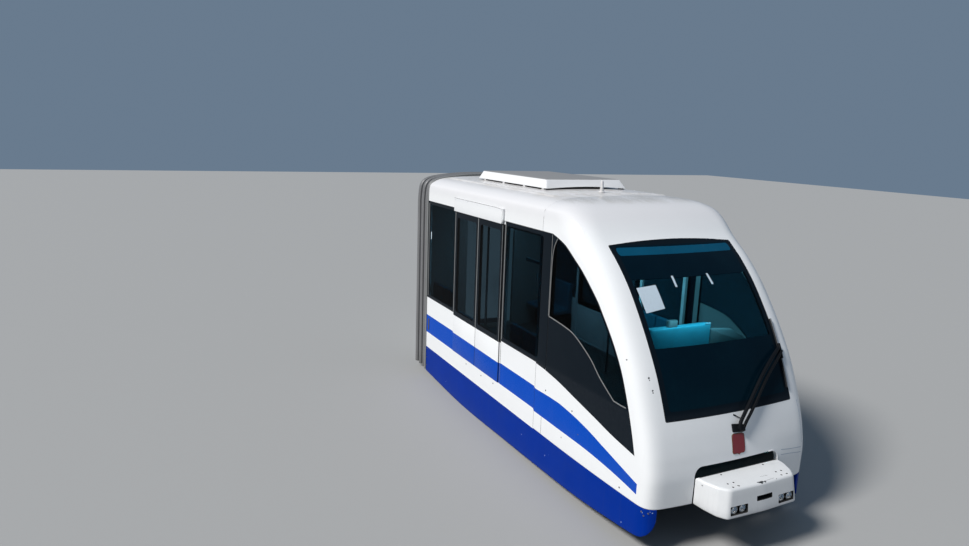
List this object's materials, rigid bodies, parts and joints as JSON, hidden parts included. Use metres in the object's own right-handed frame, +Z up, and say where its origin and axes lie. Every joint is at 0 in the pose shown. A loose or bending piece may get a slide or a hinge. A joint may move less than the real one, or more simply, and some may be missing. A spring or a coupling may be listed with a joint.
{
  "type": "monorail car",
  "caption": "Lead car of a light straddle monorail train, with a sloping glazed nose, side doors, blue skirts, a rear bellows ring and single-axle bogies on rubber tyres.",
  "frame": {"origin": "on the running surface of the guide beam, on the car's centre plane, midway between the two bogie pivots", "axes": "+X towards the nose, +Y to the car's left side, +Z up"},
  "size_m": [6.652, 2.348, 3.519],
  "materials": {
    "white_paint": "gloss",
    "blue_paint": "gloss",
    "tinted_glass": "polished",
    "bellows_rubber": "matte",
    "frame_paint": "satin",
    "bare_steel": "satin",
    "tyre_rubber": "matte",
    "lamp_reflector": "polished",
    "black_trim": "matte",
    "cab_plastic": "satin",
    "seat_shell": "satin",
    "motor_casing": "matte"
  },
  "bodies": {
    "car_body": {"underframe": "frame_paint", "floor_deck": "frame_paint", "side_wall_left": "white_paint", "side_wall_right": "white_paint", "roof_shell": "white_paint", "rear_frame": "white_paint", "nose_shell": "white_paint", "windscreen": "tinted_glass", "nose_glass_left": "tinted_glass", "nose_glass_right": "tinted_glass", "rear_window_left": "tinted_glass", "rear_window_right": "tinted_glass", "front_window_left": "tinted_glass", "front_window_right": "tinted_glass", "door_leaf_rear_left": "white_paint", "door_leaf_rear_right": "white_paint", "door_leaf_front_left": "white_paint", "door_leaf_front_right": "white_paint", "door_glass_rear_left": "tinted_glass", "door_glass_rear_right": "tinted_glass", "door_glass_front_left": "tinted_glass", "door_glass_front_right": "tinted_glass", "door_pelmet_left": "white_paint", "door_pelmet_right": "white_paint", "skirt_left": "blue_paint", "skirt_right": "blue_paint", "skirt_nose_left": "blue_paint", "skirt_nose_right": "blue_paint", "bellows_ring": "bellows_rubber", "coupler_cover": "white_paint", "headlamp_left": "lamp_reflector", "headlamp_right": "lamp_reflector", "roof_plinth": "white_paint", "roof_cover": "white_paint", "antenna": "white_paint", "wiper": "black_trim", "driver_desk": "cab_plastic", "driver_seat": "seat_shell", "bench_rear_left": "seat_shell", "bench_rear_right": "seat_shell", "bench_front_left": "seat_shell", "bench_front_right": "seat_shell", "grab_poles": "bare_steel", "linear_motor": "motor_casing"},
    "rear_drawbar": {"drawbar": "bare_steel"},
    "bogie_front": {"bogie_frame_front": "frame_paint"},
    "bogie_rear": {"bogie_frame_rear": "frame_paint"},
    "axle_front": {"running_axle_front": "bare_steel", "running_tyre_front_left": "tyre_rubber", "running_tyre_front_right": "tyre_rubber"},
    "axle_rear": {"running_axle_rear": "bare_steel", "running_tyre_rear_left": "tyre_rubber", "running_tyre_rear_right": "tyre_rubber"},
    "guide_front_left": {"guide_wheel_front_left": "tyre_rubber"},
    "guide_front_right": {"guide_wheel_front_right": "tyre_rubber"},
    "guide_rear_left": {"guide_wheel_rear_left": "tyre_rubber"},
    "guide_rear_right": {"guide_wheel_rear_right": "tyre_rubber"}
  },
  "joints": [
    {"name": "drawbar_swing", "type": "hinge", "parent": "car_body", "child": "rear_drawbar", "pos_m": [-2.45, 0, 0.328], "axis": [0, 0, 1], "range_deg": [-15, 15]},
    {"name": "bogie_front_yaw", "type": "hinge", "parent": "car_body", "child": "bogie_front", "pos_m": [1.9, 0, 0.34], "axis": [0, 0, 1], "range_deg": [-4.4, 4.4]},
    {"name": "bogie_rear_yaw", "type": "hinge", "parent": "car_body", "child": "bogie_rear", "pos_m": [-1.9, 0, 0.34], "axis": [0, 0, 1], "range_deg": [-4.4, 4.4]},
    {"name": "axle_front_roll", "type": "hinge", "parent": "bogie_front", "child": "axle_front", "pos_m": [1.9, 0, 0.18], "axis": [0, 1, 0], "continuous": true},
    {"name": "axle_rear_roll", "type": "hinge", "parent": "bogie_rear", "child": "axle_rear", "pos_m": [-1.9, 0, 0.18], "axis": [0, 1, 0], "continuous": true},
    {"name": "guide_front_left_spin", "type": "hinge", "parent": "bogie_front", "child": "guide_front_left", "pos_m": [2.16, 1.02, -0.1], "axis": [0, 0, 1], "continuous": true},
    {"name": "guide_front_right_spin", "type": "hinge", "parent": "bogie_front", "child": "guide_front_right", "pos_m": [2.16, -1.02, -0.1], "axis": [0, 0, 1], "continuous": true},
    {"name": "guide_rear_left_spin", "type": "hinge", "parent": "bogie_rear", "child": "guide_rear_left", "pos_m": [-2.16, 1.02, -0.1], "axis": [0, 0, 1], "continuous": true},
    {"name": "guide_rear_right_spin", "type": "hinge", "parent": "bogie_rear", "child": "guide_rear_right", "pos_m": [-2.16, -1.02, -0.1], "axis": [0, 0, 1], "continuous": true}
  ]
}
